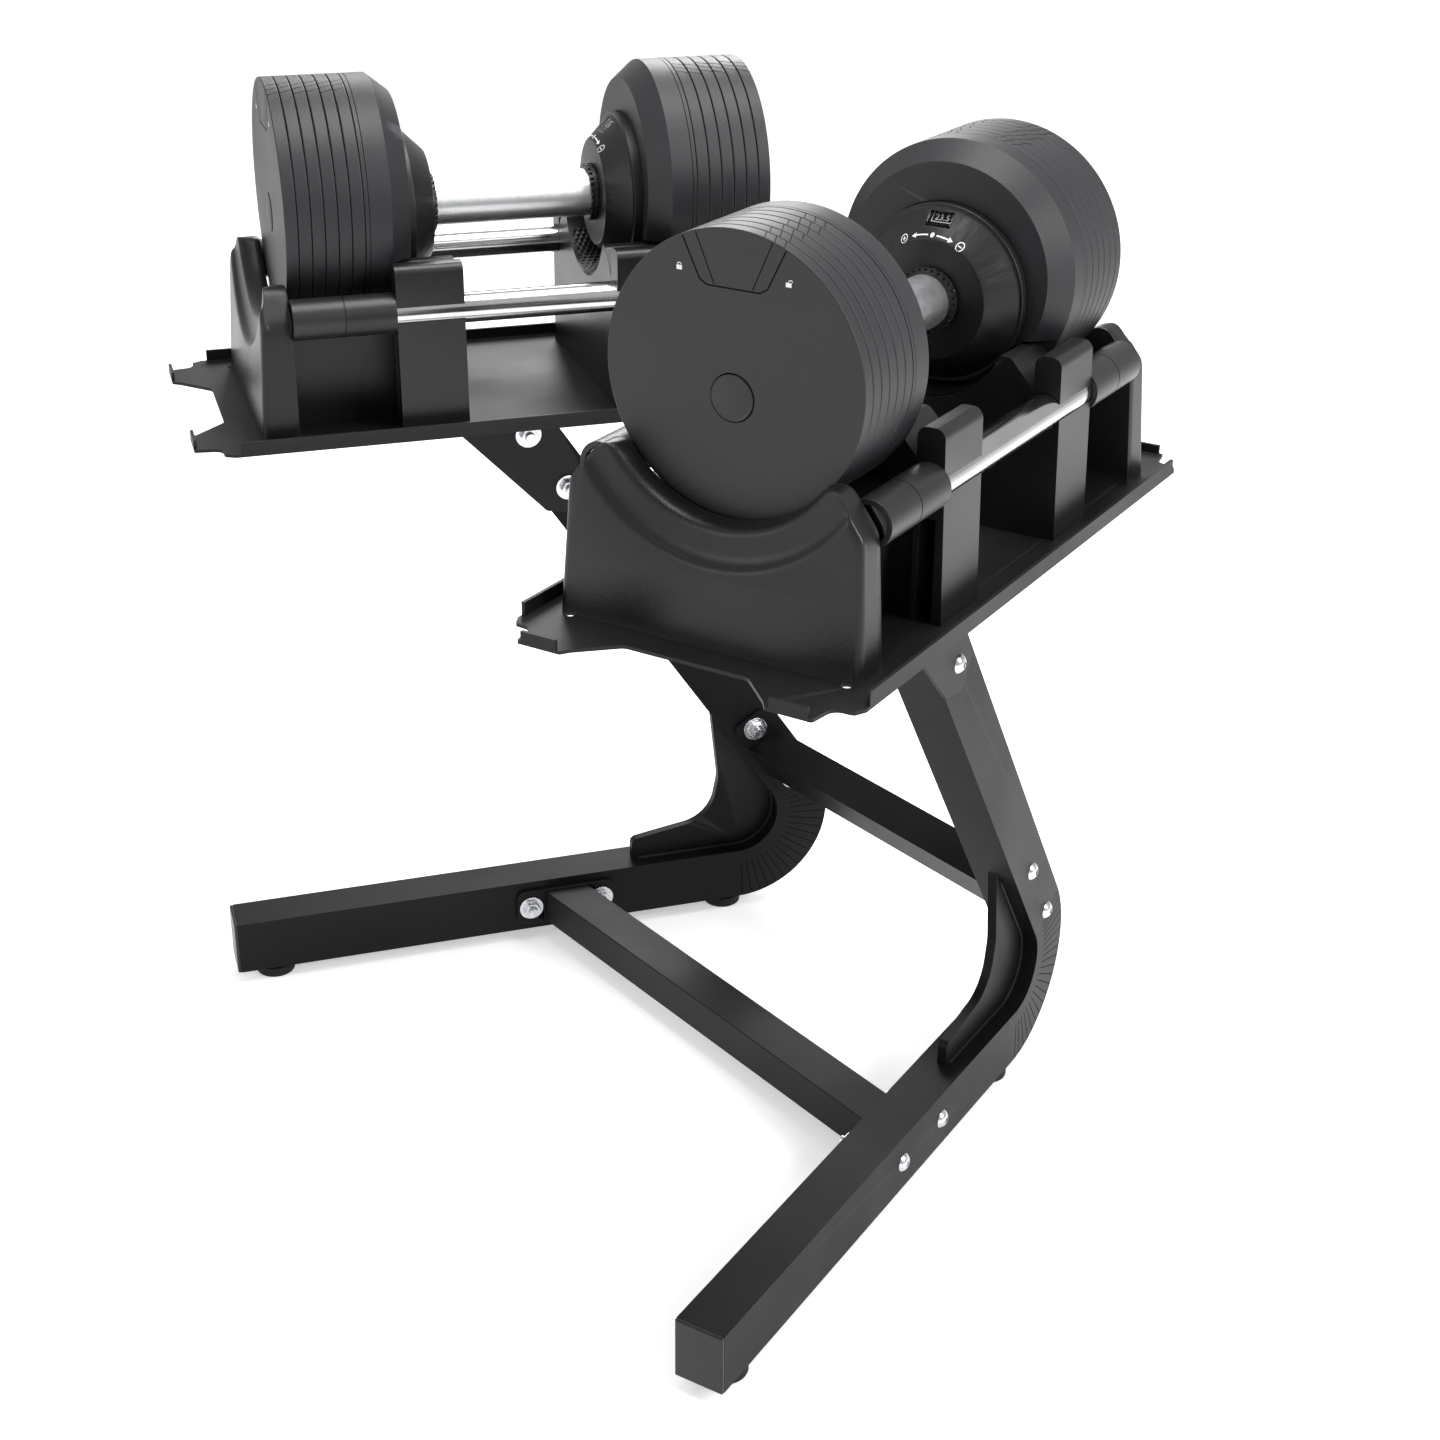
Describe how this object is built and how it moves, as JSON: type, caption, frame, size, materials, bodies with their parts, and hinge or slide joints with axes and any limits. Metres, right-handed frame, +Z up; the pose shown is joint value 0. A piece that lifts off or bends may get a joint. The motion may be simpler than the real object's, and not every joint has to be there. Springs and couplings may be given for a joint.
{
  "type": "adjustable dumbbell set on stand",
  "caption": "Twist-handle adjustable dumbbells in moulded cradles on trays of a splayed tube floor stand, with handles, selector shafts and discs as separate pieces.",
  "frame": {"origin": "floor point under the middle of the stand", "axes": "+Z up, -Y is the open front of the stand, +X to the right-hand tray seen from behind"},
  "size_m": [0.8446, 0.5776, 0.7935],
  "materials": {
    "black_powder_coat": "fine matte",
    "black_plastic": "fine grain",
    "black_rubber": "matte",
    "zinc_steel": "bright zinc",
    "chrome_rod": "mirror",
    "dark_cast_iron": "fine painted texture",
    "satin_aluminium": "satin",
    "bright_steel": "turned",
    "grey_plastic": "matte",
    "clear_window": "clear"
  },
  "bodies": {
    "stand": {"crossbar_bolts": "zinc_steel", "crossbar_nuts": "zinc_steel", "leg_end_caps": "black_plastic", "lower_crossbar": "black_powder_coat", "rubber_feet": "black_rubber", "tray_bolts": "zinc_steel", "tray_nuts": "zinc_steel", "upper_crossbar": "black_powder_coat", "left_leg": "black_powder_coat", "left_gusset": "black_powder_coat", "left_tray_bracket": "black_powder_coat", "left_tray": "black_powder_coat", "left_front_saddle": "black_plastic", "left_rear_saddle": "black_plastic", "left_front_post": "black_plastic", "left_rear_post": "black_plastic", "left_rod_collars": "black_plastic", "left_cradle_rods": "chrome_rod", "right_leg": "black_powder_coat", "right_gusset": "black_powder_coat", "right_tray_bracket": "black_powder_coat", "right_tray": "black_powder_coat", "right_front_saddle": "black_plastic", "right_rear_saddle": "black_plastic", "right_front_post": "black_plastic", "right_rear_post": "black_plastic", "right_rod_collars": "black_plastic", "right_cradle_rods": "chrome_rod"},
    "left_dumbbell": {"left_front_plates": "dark_cast_iron", "left_rear_plates": "dark_cast_iron", "left_front_head": "dark_cast_iron", "left_rear_head": "dark_cast_iron", "left_front_hub": "black_plastic", "left_rear_hub": "black_plastic", "left_window_lens": "clear_window", "left_end_badges": "black_plastic"},
    "left_handle": {"left_grip": "satin_aluminium", "left_toothed_rings": "black_plastic", "left_drive_nuts": "bright_steel", "left_display_ring": "grey_plastic"},
    "left_front_selector": {"left_front_shaft": "bright_steel"},
    "left_rear_selector": {"left_rear_shaft": "bright_steel"},
    "right_dumbbell": {"right_front_plates": "dark_cast_iron", "right_rear_plates": "dark_cast_iron", "right_front_head": "dark_cast_iron", "right_rear_head": "dark_cast_iron", "right_front_hub": "black_plastic", "right_rear_hub": "black_plastic", "right_window_lens": "clear_window", "right_end_badges": "black_plastic"},
    "right_handle": {"right_grip": "satin_aluminium", "right_toothed_rings": "black_plastic", "right_drive_nuts": "bright_steel", "right_display_ring": "grey_plastic"},
    "right_front_selector": {"right_front_shaft": "bright_steel"},
    "right_rear_selector": {"right_rear_shaft": "bright_steel"}
  },
  "joints": [
    {"name": "left_dumbbell_lift", "type": "slide", "parent": "stand", "child": "left_dumbbell", "axis": [0, 0, 1], "range_m": [0, 0.3]},
    {"name": "left_handle_turn", "type": "hinge", "parent": "left_dumbbell", "child": "left_handle", "pos_m": [-0.22175, 0, 0.692], "axis": [-0.3502, -0.9367, 0], "range_deg": [-192, 120]},
    {"name": "left_front_selector_feed", "type": "slide", "parent": "left_dumbbell", "child": "left_front_selector", "axis": [-0.3502, -0.9367, 0], "range_m": [-0.037, 0.0232]},
    {"name": "left_rear_selector_feed", "type": "slide", "parent": "left_dumbbell", "child": "left_rear_selector", "axis": [0.3502, 0.9367, 0], "range_m": [-0.037, 0.0232]},
    {"name": "right_dumbbell_lift", "type": "slide", "parent": "stand", "child": "right_dumbbell", "axis": [0, 0, 1], "range_m": [0, 0.3]},
    {"name": "right_handle_turn", "type": "hinge", "parent": "right_dumbbell", "child": "right_handle", "pos_m": [0.22175, 0, 0.692], "axis": [0.3502, -0.9367, 0], "range_deg": [-192, 120]},
    {"name": "right_front_selector_feed", "type": "slide", "parent": "right_dumbbell", "child": "right_front_selector", "axis": [0.3502, -0.9367, 0], "range_m": [-0.037, 0.0232]},
    {"name": "right_rear_selector_feed", "type": "slide", "parent": "right_dumbbell", "child": "right_rear_selector", "axis": [-0.3502, 0.9367, 0], "range_m": [-0.037, 0.0232]}
  ],
  "couplings": [
    {"joint": "left_front_selector_feed", "follows": "left_handle_turn", "m_per_rad": 0.011018},
    {"joint": "left_rear_selector_feed", "follows": "left_handle_turn", "m_per_rad": 0.011018},
    {"joint": "right_front_selector_feed", "follows": "right_handle_turn", "m_per_rad": 0.011018},
    {"joint": "right_rear_selector_feed", "follows": "right_handle_turn", "m_per_rad": 0.011018}
  ]
}
